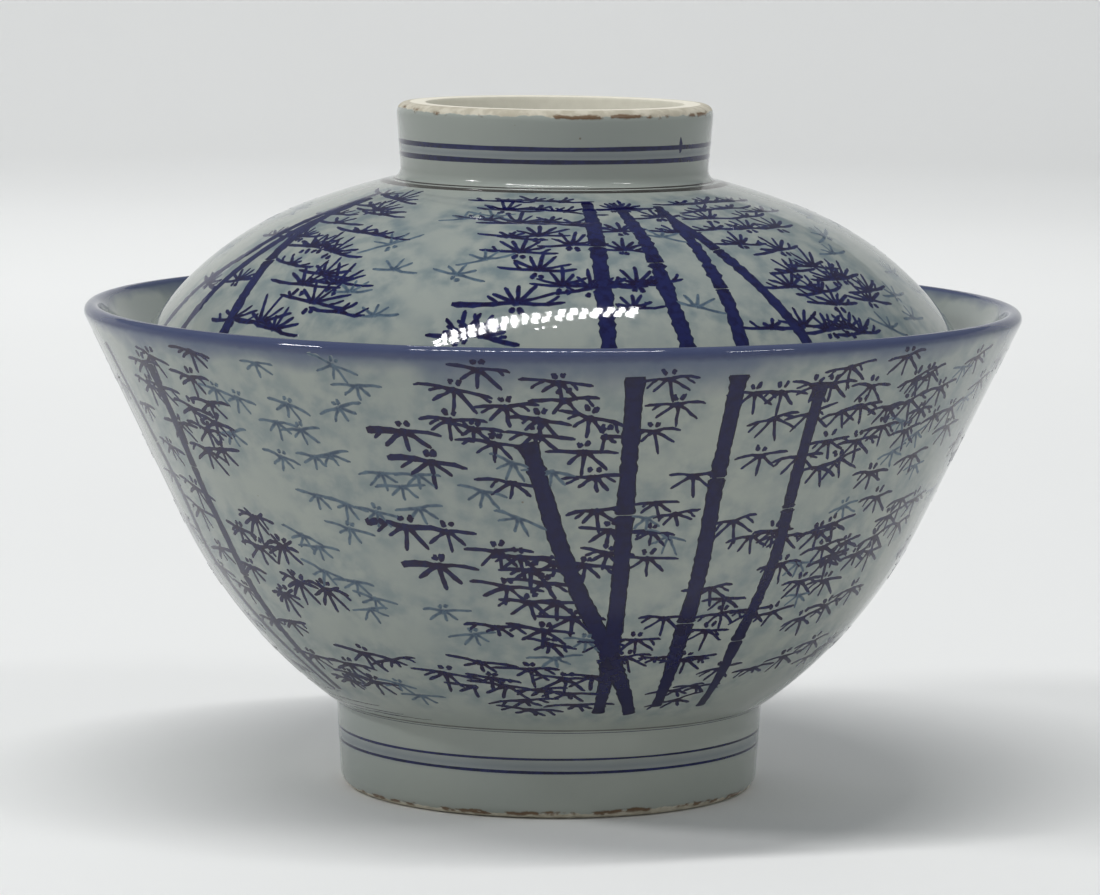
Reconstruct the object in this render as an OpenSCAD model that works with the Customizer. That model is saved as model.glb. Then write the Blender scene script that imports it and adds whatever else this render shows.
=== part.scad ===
// Covered rice bowl in two fired pieces: a flared bowl on a turned foot ring, and a domed lid
// whose own ring is both its knob and its foot when it is set down upside down.
// Units are millimetres. The foot stands on z = 0 and everything turns about the Z axis.
// Each piece is a half section, drawn in the radius and height plane and revolved.

/* [Bowl] */
// Outer diameter across the lip
rim_d = 120; // [112:1:128]
// Height of the lip's crown above the table
bowl_h = 62.5; // [60:0.5:66]
// Thickness of the lip, which is rounded all the way over
lip_t = 2.2; // [1.8:0.1:2.8]
// Lean of the straight upper wall from the vertical, in degrees
wall_lean = 25.4; // [24:0.1:27]
// Height where the straight wall turns into the rounded lower wall
turn_h = 35; // [32:1:38]
// Radius of the rounded lower wall, seen in section
belly_r = 62; // [60:1:65]
// Thickness of the rounded lower wall
wall_t = 3.4; // [2.8:0.1:4]
// Height of the level inside floor above the table
floor_h = 12; // [11.5:0.1:13]
// Radius of the curve between the inside floor and the wall
floor_turn_r = 18; // [14:1:20]

/* [Foot ring] */
// Height above the table at which the wall springs from the foot
foot_join_h = 11.6; // [11.4:0.1:12.4]
// Outer diameter of the foot just under the wall
foot_top_d = 55; // [54:0.5:55.5]
// Outer diameter of the foot near the table
foot_low_d = 53.8; // [52:0.1:54.5]
// Outer diameter of the bare ring that touches the table
foot_tread_d = 50.4; // [49:0.1:51]
// Width of that bare ring, with the bevel on its inner side
foot_tread_w = 2.2; // [1.6:0.1:2.8]
// Height of the hollow inside the foot
foot_hollow_h = 8; // [7:0.1:8.2]

/* [Lid] */
// Outer diameter of the lid
lid_d = 108; // [107.5:0.1:108.5]
// Thickness of the lid
lid_t = 2.9; // [2.6:0.1:3.2]
// Thickness of the lid's edge, which is rounded all the way over
lid_edge_t = 2.6; // [2.2:0.1:2.8]
// Radius of the rounder shoulder, seen in section
shoulder_r = 41; // [40:0.5:43]
// Distance from the axis at which the crown turns into the shoulder
shoulder_start = 33; // [31:0.5:35]
// Slope of the lid at that place, in degrees
shoulder_slope = 22; // [21:0.5:23]
// Gap between the lid's edge and the bowl's wall where it rests
seat_gap = 0.1; // [0.05:0.05:0.2]

/* [Lid ring] */
// Outer diameter of the ring near its top
ring_top_d = 40.5; // [38:0.1:42]
// Outer diameter of the ring at its waist, just above the lid
ring_waist_d = 39.4; // [37:0.1:41]
// Height of the ring's bare tread above the table, with the lid on the bowl
covered_h = 88; // [86:0.5:90]
// Width of the bare tread on top of the ring
ring_tread_w = 2.4; // [1.8:0.1:2.8]
// Thickness of the ring's wall near its top
ring_t = 4; // [3.4:0.1:4.6]

/* [Hidden] */
$fn = 180;
ARC_STEPS = 14; // straight steps that each round stretch of a section is drawn with

// A point at distance r from c, in the direction of the angle a.
function polar(c, r, a) = c + r * [cos(a), sin(a)];

// The points of an arc around c from angle a to angle b, both ends included.
function arc(c, r, a, b) =
    [for (i = [0:ARC_STEPS]) polar(c, r, a + (b - a) * i / ARC_STEPS)];

// Length of the other short side of a right triangle.
function leg(hypotenuse, side) = sqrt(hypotenuse * hypotenuse - side * side);

// Bowl: the lip's round, then the wall's outer round, which the straight wall is tangent to.
lip_r = lip_t / 2;
lip_c = [rim_d / 2 - lip_r, bowl_h - lip_r];
lip_out = polar(lip_c, lip_r, -wall_lean);
turn_out = lip_out - (lip_out.y - turn_h) * [tan(wall_lean), 1];
belly_c = polar(turn_out, belly_r, 180 - wall_lean);

// Inside: the straight wall is the common tangent of the lip's round and the belly's round.
belly_in_r = belly_r - wall_t;
lip_from_belly = lip_c - belly_c;
in_lean = acos((belly_in_r + lip_r) / norm(lip_from_belly))
    - atan2(lip_from_belly.y, lip_from_belly.x);
floor_turn_z = floor_h + floor_turn_r;
floor_turn_c = [
    belly_c.x + leg(belly_in_r - floor_turn_r, belly_c.y - floor_turn_z),
    floor_turn_z
];
floor_to_belly = floor_turn_c - belly_c;
floor_turn_end = atan2(floor_to_belly.y, floor_to_belly.x);

// Foot ring: its outer side leans in a little towards the table and ends in a rounded edge.
foot_top_r = foot_top_d / 2;
foot_low_r = foot_low_d / 2;
tread_out_r = foot_tread_d / 2;
tread_in_r = tread_out_r - foot_tread_w;
foot_edge_r = foot_low_r - tread_out_r;
foot_bevel = 0.5;
foot_corner_r = 1.5;
foot_join_a = asin((foot_join_h - belly_c.y) / belly_r);
foot_step = 0.3; // the small step under the wall, where glaze gathers in a dark line

// Lid: the height of its edge follows from where its round edge meets the bowl's inner wall.
edge_r = lid_edge_t / 2;
edge_x = lid_d / 2 - edge_r;
wall_in_k = belly_c * [cos(in_lean), -sin(in_lean)] + belly_in_r;
edge_z = (edge_x * cos(in_lean) + edge_r + seat_gap - wall_in_k) / sin(in_lean);
edge_c = [edge_x, edge_z];

shoulder_cx = shoulder_start - shoulder_r * sin(shoulder_slope);
shoulder_end = acos((edge_x - shoulder_cx) / (shoulder_r - edge_r));
shoulder_c = polar(edge_c, edge_r - shoulder_r, shoulder_end);
crown_r = shoulder_start / sin(shoulder_slope); // centred on the axis, so that it has no peak
crown_c = [0, shoulder_c.y - (crown_r - shoulder_r) * cos(shoulder_slope)];

// Lid ring: a slightly waisted wall with a small fillet where it stands on the crown.
ring_fillet = 1.4;
ring_edge_r = 1.3;
ring_top_r = ring_top_d / 2;
ring_waist_r = ring_waist_d / 2;
ring_foot_r = ring_waist_r + ring_fillet;
ring_foot_a = acos(ring_foot_r / crown_r);
ring_foot_z = crown_c.y + leg(crown_r, ring_foot_r);
ring_tread_in_r = ring_top_r - ring_edge_r - ring_tread_w;
ring_in_r = ring_waist_r - ring_t;

module bowl() {
    color("aliceblue") rotate_extrude() polygon(concat(
        // hollow of the foot
        [[0, foot_hollow_h]],
        arc([tread_in_r - foot_corner_r, foot_hollow_h - foot_corner_r], foot_corner_r, 90, 0),
        // bare tread and rounded outer edge of the foot
        [[tread_in_r, foot_bevel], [tread_in_r + foot_bevel, 0]],
        arc([tread_out_r, foot_edge_r], foot_edge_r, -90, 0),
        [[foot_top_r, foot_join_h - foot_step]],
        // outside, from the foot up to the lip and over it
        arc(belly_c, belly_r, foot_join_a, -wall_lean),
        arc(lip_c, lip_r, -wall_lean, 180 - in_lean),
        // inside, back down to the floor
        arc(belly_c, belly_in_r, -in_lean, floor_turn_end),
        arc(floor_turn_c, floor_turn_r, floor_turn_end, -90),
        [[0, floor_h]]
    ));
}

module lid() {
    color("aliceblue") rotate_extrude() polygon(concat(
        // inside, from the axis down to the edge and round it
        arc(crown_c, crown_r - lid_t, 90, 90 - shoulder_slope),
        arc(shoulder_c, shoulder_r - lid_t, 90 - shoulder_slope, shoulder_end),
        arc(edge_c, edge_r, shoulder_end - 180, shoulder_end),
        // outside, up to the ring
        arc(shoulder_c, shoulder_r, shoulder_end, 90 - shoulder_slope),
        arc(crown_c, crown_r, 90 - shoulder_slope, ring_foot_a),
        arc([ring_foot_r, ring_foot_z + ring_fillet], ring_fillet, -90, -180),
        // outside and bare tread of the ring, then its hollow
        arc([ring_top_r - ring_edge_r, covered_h - ring_edge_r], ring_edge_r, 0, 90),
        [[ring_tread_in_r, covered_h]],
        arc(crown_c, crown_r, acos(ring_in_r / crown_r), 90)
    ));
}

bowl();
lid();
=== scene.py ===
"""Looks of a covered porcelain rice bowl with blue bamboo print.

The CAD frame gives two turned pieces, the bowl and its lid. Each is turned again here on a finer
section with a slightly warped lip, soft corners and a ragged bare tread. The print lies on the two
as thin closed strokes, so that it stays sharp: canes, dark leaves, pale leaves and brushed lines.
Lengths are in millimetres until a mesh is made. Angles run around the axis in degrees, from the
front (-Y) towards +X. A section is a list of (radius, height) points.
"""

import math

import bpy
import numpy as np
from mathutils import Matrix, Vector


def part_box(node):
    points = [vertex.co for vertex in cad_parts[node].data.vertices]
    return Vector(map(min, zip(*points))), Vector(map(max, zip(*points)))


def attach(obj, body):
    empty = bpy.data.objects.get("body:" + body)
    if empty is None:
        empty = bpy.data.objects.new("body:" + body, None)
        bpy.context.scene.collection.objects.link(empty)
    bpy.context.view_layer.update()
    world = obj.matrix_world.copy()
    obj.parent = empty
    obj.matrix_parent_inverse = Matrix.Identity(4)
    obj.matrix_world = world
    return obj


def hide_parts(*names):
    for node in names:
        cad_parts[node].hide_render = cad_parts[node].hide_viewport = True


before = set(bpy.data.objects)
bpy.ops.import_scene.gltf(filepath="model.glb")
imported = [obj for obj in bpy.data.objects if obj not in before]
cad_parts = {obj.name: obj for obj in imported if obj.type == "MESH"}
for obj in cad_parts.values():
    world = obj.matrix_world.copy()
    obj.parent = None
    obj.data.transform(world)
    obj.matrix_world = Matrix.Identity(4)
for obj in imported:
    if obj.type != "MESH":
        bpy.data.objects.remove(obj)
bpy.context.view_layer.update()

MM = 0.001

# ---------------------------------------------------------------- sizes

bowl_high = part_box("bowl")[1]
lid_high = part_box("lid")[1]
RIM_R = bowl_high.x / MM
RIM_Z = bowl_high.z / MM
LID_R = lid_high.x / MM
COVERED_Z = lid_high.z / MM

LIP_ROUND = 1.1
WALL_LEAN = 25.4
TURN_Z = 35.0
BELLY_ROUND = 62.0
WALL_T = 3.4
FLOOR_Z = 12.0
FLOOR_ROUND = 18.0
FOOT_JOIN_Z = 11.6
FOOT_STEP = 0.3
FOOT_TOP_R = 27.5
FOOT_LOW_R = 26.9
TREAD_OUT_R = 25.2
TREAD_IN_R = 23.0
TREAD_BEVEL = 0.5
HOLLOW_Z = 8.0
HOLLOW_ROUND = 1.5

LID_T = 2.9
EDGE_ROUND = 1.3
SHOULDER_ROUND = 41.0
SHOULDER_START = 33.0
SHOULDER_SLOPE = 22.0
SEAT_GAP = 0.1
RING_FILLET = 1.4
RING_EDGE = 1.3
RING_TOP_R = 20.25
RING_WAIST_R = 19.7
RING_T = 4.0
RING_TREAD_W = 2.4

# heights of the turned cobalt lines on the foot and on the lid's ring
FOOT_LINES = (6.1, 7.75)
FOOT_FINE_LINE = 11.15
RING_LINES = (81.55, 83.15)


# ---------------------------------------------------------------- sections

def spot(radius, height):
    return np.array([radius, height], float)


def polar(centre, radius, angle):
    turn = math.radians(angle)
    return centre + radius * spot(math.cos(turn), math.sin(turn))


def arc(centre, radius, start, end):
    """Points along an arc from angle start to angle end, in degrees."""
    return np.array([polar(centre, radius, a) for a in np.linspace(start, end, 49)])


def leg(hypotenuse, side):
    return math.sqrt(hypotenuse * hypotenuse - side * side)


def angle_to(centre, target):
    return math.degrees(math.atan2(target[1] - centre[1], target[0] - centre[0]))


LIP_C = spot(RIM_R - LIP_ROUND, RIM_Z - LIP_ROUND)
LIP_OUT = polar(LIP_C, LIP_ROUND, -WALL_LEAN)
TURN_OUT = LIP_OUT - (LIP_OUT[1] - TURN_Z) * spot(math.tan(math.radians(WALL_LEAN)), 1)
BELLY_C = polar(TURN_OUT, BELLY_ROUND, 180 - WALL_LEAN)
BELLY_IN = BELLY_ROUND - WALL_T
IN_LEAN = math.degrees(math.acos((BELLY_IN + LIP_ROUND) / np.linalg.norm(LIP_C - BELLY_C)))
IN_LEAN -= angle_to(BELLY_C, LIP_C)
FLOOR_TURN_Z = FLOOR_Z + FLOOR_ROUND
FLOOR_C = spot(BELLY_C[0] + leg(BELLY_IN - FLOOR_ROUND, BELLY_C[1] - FLOOR_TURN_Z), FLOOR_TURN_Z)
FLOOR_END = angle_to(BELLY_C, FLOOR_C)
JOIN_ANGLE = math.degrees(math.asin((FOOT_JOIN_Z - BELLY_C[1]) / BELLY_ROUND))
FOOT_EDGE = FOOT_LOW_R - TREAD_OUT_R

EDGE_X = LID_R - EDGE_ROUND
SLANT = math.radians(IN_LEAN)
WALL_K = BELLY_C[0] * math.cos(SLANT) - BELLY_C[1] * math.sin(SLANT) + BELLY_IN
EDGE_Z = (EDGE_X * math.cos(SLANT) + EDGE_ROUND + SEAT_GAP - WALL_K) / math.sin(SLANT)
EDGE_C = spot(EDGE_X, EDGE_Z)
SHOULDER_X = SHOULDER_START - SHOULDER_ROUND * math.sin(math.radians(SHOULDER_SLOPE))
SHOULDER_END = math.degrees(math.acos((EDGE_X - SHOULDER_X) / (SHOULDER_ROUND - EDGE_ROUND)))
SHOULDER_C = polar(EDGE_C, EDGE_ROUND - SHOULDER_ROUND, SHOULDER_END)
CROWN_ROUND = SHOULDER_START / math.sin(math.radians(SHOULDER_SLOPE))
CROWN_DROP = (CROWN_ROUND - SHOULDER_ROUND) * math.cos(math.radians(SHOULDER_SLOPE))
CROWN_C = spot(0, SHOULDER_C[1] - CROWN_DROP)
RING_FOOT_R = RING_WAIST_R + RING_FILLET
RING_FOOT_Z = CROWN_C[1] + leg(CROWN_ROUND, RING_FOOT_R)
RING_IN_R = RING_WAIST_R - RING_T
RING_TREAD_IN_R = RING_TOP_R - RING_EDGE - RING_TREAD_W


def bowl_wall():
    """Outside of the bowl from the foot up to the lip."""
    return np.concatenate([
        arc(BELLY_C, BELLY_ROUND, JOIN_ANGLE, -WALL_LEAN),
        arc(LIP_C, LIP_ROUND, -WALL_LEAN, 0),
    ])


def foot_side():
    """Outside of the foot ring, from its rounded edge up to the step under the wall."""
    return np.array([[FOOT_LOW_R, FOOT_EDGE], [FOOT_TOP_R, FOOT_JOIN_Z - FOOT_STEP]])


def bowl_section():
    return np.concatenate([
        [[0, HOLLOW_Z]],
        arc(spot(TREAD_IN_R - HOLLOW_ROUND, HOLLOW_Z - HOLLOW_ROUND), HOLLOW_ROUND, 90, 0),
        [[TREAD_IN_R, TREAD_BEVEL], [TREAD_IN_R + TREAD_BEVEL, 0]],
        arc(spot(TREAD_OUT_R, FOOT_EDGE), FOOT_EDGE, -90, 0),
        foot_side()[1:],
        arc(BELLY_C, BELLY_ROUND, JOIN_ANGLE, -WALL_LEAN),
        arc(LIP_C, LIP_ROUND, -WALL_LEAN, 180 - IN_LEAN),
        arc(BELLY_C, BELLY_IN, -IN_LEAN, FLOOR_END),
        arc(FLOOR_C, FLOOR_ROUND, FLOOR_END, -90),
        [[0, FLOOR_Z]],
    ])


def lid_dome():
    """Outside of the lid from its edge up to the ring."""
    crown_end = math.degrees(math.acos(RING_FOOT_R / CROWN_ROUND))
    return np.concatenate([
        arc(SHOULDER_C, SHOULDER_ROUND, SHOULDER_END, 90 - SHOULDER_SLOPE),
        arc(CROWN_C, CROWN_ROUND, 90 - SHOULDER_SLOPE, crown_end)[1:],
    ])


def ring_side():
    """Outside of the lid's ring, from its fillet up to its rounded top edge."""
    return np.concatenate([
        arc(spot(RING_FOOT_R, RING_FOOT_Z + RING_FILLET), RING_FILLET, -90, -180),
        arc(spot(RING_TOP_R - RING_EDGE, COVERED_Z - RING_EDGE), RING_EDGE, 0, 90),
    ])


def lid_section():
    ring_in_angle = math.degrees(math.acos(RING_IN_R / CROWN_ROUND))
    return np.concatenate([
        arc(CROWN_C, CROWN_ROUND - LID_T, 90, 90 - SHOULDER_SLOPE),
        arc(SHOULDER_C, SHOULDER_ROUND - LID_T, 90 - SHOULDER_SLOPE, SHOULDER_END)[1:],
        arc(EDGE_C, EDGE_ROUND, SHOULDER_END - 180, SHOULDER_END),
        lid_dome()[1:],
        ring_side(),
        [[RING_TREAD_IN_R, COVERED_Z]],
        arc(CROWN_C, CROWN_ROUND, ring_in_angle, 90),
    ])


def lengths(points):
    """Distance along an outline to each of its points."""
    return np.concatenate([[0], np.cumsum(np.linalg.norm(np.diff(points, axis=0), axis=1))])


def resampled(points, places):
    along = lengths(points)
    return np.stack([np.interp(places, along, points[:, i]) for i in (0, 1)], axis=1)


def without_repeats(points):
    keep = np.concatenate([[True], np.linalg.norm(np.diff(points, axis=0), axis=1) > 1e-4])
    return points[keep]


def softened(points, reach, step=0.05):
    """The same outline with its corners rounded by about reach. Both ends lie on the axis."""
    points = without_repeats(points)
    even = resampled(points, np.arange(0, lengths(points)[-1], step))
    even[-1] = points[-1]
    far = int(4 * reach / step)
    weights = np.exp(-0.5 * (np.arange(-far, far + 1) * step / reach) ** 2)
    weights /= weights.sum()
    mirror = np.array([-1, 1])
    padded = np.concatenate([even[far:0:-1] * mirror, even, even[-2:-far - 2:-1] * mirror])
    smooth = np.stack([np.convolve(padded[:, i], weights, mode="valid") for i in (0, 1)], axis=1)
    smooth[[0, -1], 0] = 0
    return smooth


def thinned(points, count, longest=1.6, bend_share=9.0):
    """A given number of points along an outline, closer together where it bends."""
    along = lengths(points)
    tangent = np.gradient(points, along, axis=0)
    angle = np.unwrap(np.arctan2(tangent[:, 1], tangent[:, 0]))
    weight = 1 / longest + bend_share * np.abs(np.gradient(angle, along)) / math.pi
    total = np.concatenate([[0], np.cumsum(0.5 * (weight[1:] + weight[:-1]) * np.diff(along))])
    places = np.interp(np.linspace(0, total[-1], count), total, along)
    return resampled(points, places)


def smoothstep(value, low, high):
    t = np.clip((value - low) / (high - low), 0, 1)
    return t * t * (3 - 2 * t)


def between(value, low, high, soft=0.3):
    """1 inside a span and 0 outside it, with soft ends."""
    return smoothstep(value, low, low + soft) * (1 - smoothstep(value, high - soft, high))


# ---------------------------------------------------------------- hand-made irregularity

def waves(turn, seed, orders, size):
    """A smooth closed curve around the axis: a sum of a few cosines with seeded phases."""
    rng = np.random.default_rng(seed)
    total = np.zeros_like(turn)
    for order in orders:
        total = total + math.sqrt(1 / order) * np.cos(order * turn + rng.uniform(0, 2 * math.pi))
    return size * total / math.sqrt(len(orders))


WARP_FROM_Z = 57.0
LIP_DROP = 0.12
LIP_WAVES = [
    # waves around the axis, angle in degrees, size
    (1, -40, -0.22),
    (2, 95, -0.11),
    (1, -60, 0.18),
]


def warp_lip(turn, points):
    """The fired lip stands up to a third of a millimetre low, which fades out at the lid's seat."""
    share = smoothstep(points[..., 2], WARP_FROM_Z, RIM_Z)
    rise = -LIP_DROP
    for order, angle, size in LIP_WAVES:
        rise = rise + size * np.cos(order * turn + math.radians(angle))
    moved = points.copy()
    moved[..., 2] += share * rise
    return moved


def no_warp(turn, points):
    return points


# ---------------------------------------------------------------- turned meshes

AROUND = 480
ROWS = 190
SOFT_CORNER = 0.16


def outline_of(section):
    """A section with softened corners, as the rows that its mesh is turned from."""
    return thinned(softened(section, SOFT_CORNER), ROWS)


def quads(first, rows, columns, closed=False):
    """Faces between rows of points, each row a closed loop. closed joins the last row to the first."""
    faces = []
    for row in range(rows if closed else rows - 1):
        low = first + row * columns
        high = first + (row + 1) % rows * columns
        for i in range(columns):
            j = (i + 1) % columns
            faces.append((low + i, low + j, high + j, high + i))
    return faces


def revolved(turn, radius, height):
    """World points, in millimetres, of section points turned around the axis."""
    return np.stack([radius * np.sin(turn), -radius * np.cos(turn), height + 0 * turn], axis=-1)


def add_attribute(mesh, name, values):
    layer = mesh.attributes.new(name, "FLOAT", "POINT")
    layer.data.foreach_set("value", np.ascontiguousarray(values, np.float32))


def new_mesh_object(name, vertices, faces, body, material):
    mesh = bpy.data.meshes.new(name)
    mesh.from_pydata((vertices * MM).tolist(), [], faces)
    mesh.validate()
    mesh.shade_smooth()
    mesh.materials.append(material)
    piece = bpy.data.objects.new(name, mesh)
    bpy.context.scene.collection.objects.link(piece)
    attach(piece, body)
    return piece


def turned(name, section, warp, body, material, fields):
    """A closed solid of revolution. fields(turn, section point, along) gives its point attributes."""
    outline = outline_of(section)
    along = lengths(outline)
    ring = outline[1:-1]
    turns = np.linspace(0, 2 * math.pi, AROUND, endpoint=False)
    grid_turn, grid_radius = np.meshgrid(turns, ring[:, 0])
    _, grid_height = np.meshgrid(turns, ring[:, 1])
    _, grid_along = np.meshgrid(turns, along[1:-1])
    body_points = warp(grid_turn, revolved(grid_turn, grid_radius, grid_height)).reshape(-1, 3)
    poles = np.array([[0, 0, outline[0, 1]], [0, 0, outline[-1, 1]]])
    vertices = np.concatenate([body_points, poles])
    count = len(ring)
    first_pole = count * AROUND
    last_pole = first_pole + 1
    faces = quads(0, count, AROUND)
    last = (count - 1) * AROUND
    for i in range(AROUND):
        j = (i + 1) % AROUND
        faces.append((first_pole, j, i))
        faces.append((last_pole, last + i, last + j))
    piece = new_mesh_object(name, vertices, faces, body, material)
    values = fields(grid_turn, grid_radius, grid_height, grid_along)
    for key, value in values.items():
        ends = [value[0].mean(), value[-1].mean()]
        add_attribute(piece.data, key, np.concatenate([value.reshape(-1), ends]))
    return piece


# ---------------------------------------------------------------- skins and strokes

class Skin:
    """The outside of a piece as a ruled place for paint: a turn around and a distance up."""

    def __init__(self, points, warp, by_radius=False):
        points = without_repeats(points)
        total = lengths(points)[-1]
        self.up = np.arange(0, total, 0.1)
        self.points = resampled(points, self.up)
        tangent = np.gradient(self.points, self.up, axis=0)
        tangent /= np.linalg.norm(tangent, axis=1)[:, None]
        self.normals = np.stack([tangent[:, 1], -tangent[:, 0]], axis=1)
        self.warp = warp
        self.by_radius = by_radius

    def up_at(self, mark):
        """Distance up the skin at a height, or on a dome at a radius."""
        if self.by_radius:
            return np.interp(mark, self.points[::-1, 0], self.up[::-1])
        return np.interp(mark, self.points[:, 1], self.up)

    def radius_at(self, up):
        return np.interp(up, self.up, self.points[:, 0])

    def place(self, turn, up, lift):
        """Points on the skin raised by lift along its normal, and those normals."""
        radius = self.radius_at(up)
        height = np.interp(up, self.up, self.points[:, 1])
        out = np.interp(up, self.up, self.normals[:, 0])
        rise = np.interp(up, self.up, self.normals[:, 1])
        base = self.warp(turn, revolved(turn, radius, height))
        normal = revolved(turn, out, rise)
        return base + normal * lift[..., None], normal


SINK = 0.012  # how far the border of a stroke lies inside the glaze


def lens(across, lift):
    """Height of a stroke over its width, from its borders in the glaze up to its ridge."""
    return (lift + SINK) * (1 - np.abs(across) ** 3) - SINK


class Strokes:
    """Painted strokes on a skin, gathered into one mesh. Each is a thin closed lens."""

    def __init__(self, skin):
        self.skin = skin
        self.vertices = []
        self.normals = []
        self.faces = []
        self.rim = []
        self.ink = []
        self.count = 0

    def _sections(self, turn, up, half, lift, columns):
        """Cross sections along a path, each from the left border over the ridge to the right."""
        radius = self.skin.radius_at(up)
        ahead = np.stack([np.gradient(turn) * radius, np.gradient(up)], axis=1)
        ahead /= np.maximum(np.linalg.norm(ahead, axis=1), 1e-9)[:, None]
        across = np.linspace(-1, 1, columns)
        side_turn = turn[:, None] + (ahead[:, 1] / radius * half)[:, None] * across
        side_up = up[:, None] - (ahead[:, 0] * half)[:, None] * across
        rise = np.broadcast_to(lens(across, lift), side_turn.shape)
        points, normals = self.skin.place(side_turn, side_up, rise)
        return points, normals, across

    def _store(self, points, normals, across, ink, faces):
        shape = points.shape[:2]
        self.vertices.append(points.reshape(-1, 3))
        self.normals.append(normals.reshape(-1, 3))
        self.rim.append(np.broadcast_to(np.abs(across), shape).reshape(-1))
        self.ink.append(np.broadcast_to(np.asarray(ink, float)[:, None], shape).reshape(-1))
        self.faces.extend(faces)
        self.count += shape[0] * shape[1]

    def add(self, turn, up, half, lift, ink, columns=3):
        """One stroke along (turn, up) with a half width and an ink strength at each point."""
        turn = np.asarray(turn, float)
        up = np.asarray(up, float)
        half = np.asarray(half, float)
        points, normals, across = self._sections(turn, up, half, lift, columns)
        rows = len(turn)
        faces = quads(self.count, rows, columns)
        end = self.count + (rows - 1) * columns
        faces.append(tuple(self.count + i for i in reversed(range(columns))))
        faces.append(tuple(end + i for i in range(columns)))
        self._store(points, normals, across, ink, faces)

    def add_ring(self, up, half, lift, ink, columns=3):
        """A brushed line all the way around, with a distance up and a half width at each step."""
        steps = len(up)
        turn = np.linspace(0, 2 * math.pi, steps, endpoint=False)
        across = np.linspace(-1, 1, columns)
        grid_turn = np.broadcast_to(turn[:, None], (steps, columns))
        grid_up = up[:, None] - half[:, None] * across
        rise = np.broadcast_to(lens(across, lift), grid_up.shape)
        points, normals = self.skin.place(grid_turn, grid_up, rise)
        self._store(points, normals, across, ink, quads(self.count, steps, columns, closed=True))

    def build(self, name, body, material):
        piece = new_mesh_object(
            name, np.concatenate(self.vertices), self.faces, body, material
        )
        add_attribute(piece.data, "rim", np.concatenate(self.rim))
        add_attribute(piece.data, "ink", np.concatenate(self.ink))
        piece.data.normals_split_custom_set_from_vertices(np.concatenate(self.normals).tolist())
        return piece


# ---------------------------------------------------------------- bamboo motifs

# a stroke of the print is thick where it leaves the centre of its spray and blunt at its end
STROKE_T = np.array([0, 0.12, 0.35, 0.65, 0.88, 1.0])
STROKE_WIDTH = np.array([1.35, 1.12, 0.88, 0.95, 0.85, 0.45])
BOLD_WIDTH = np.array([0.9, 0.95, 1.2, 1.42, 1.4, 1.0])
BLUNT_WIDTH = np.array([0.6, 0.92, 1.08, 1.05, 0.92, 0.55])
STROKE_INK = np.array([1.0, 0.95, 0.75, 0.62, 0.7, 0.85])

# right and down, in millimetres, of the leaves that hang from the centre of each kind of spray
HANGING = {
    "star": [(-2.3, -1.8), (0.3, -2.8), (2.6, -2.0)],
    "wide": [(-3.0, -1.2), (-1.7, -2.5), (0.3, -3.1), (2.0, -2.4), (3.2, -1.3)],
    "two": [(-1.8, -1.8), (1.7, -2.2)],
    "left": [(-2.0, -1.7), (0.3, -2.2)],
    "right": [(-0.2, -2.1), (2.1, -1.7)],
    "flat": [(-1.6, -1.0), (0.4, -1.4), (1.9, -1.1)],
    "burst": [(-2.4, -1.7), (-1.0, -2.8), (0.8, -3.0), (2.5, -1.9), (1.9, 1.1), (-1.5, 1.3)],
}
ARMS = {"left": (-1,), "right": (1,)}

NODE_GAP = 0.11  # width of the white line that parts a cane
GROUND_LIFT = 0.03
PALE_LIFT = 0.03
DARK_LIFT = 0.045
CANE_LIFT = 0.05
LINE_LIFT = 0.03
PALE_SIZE = 0.74
GROUND_STEPS = 24
EASE_STEPS = 400
EASE_WIDTH = 30


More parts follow.
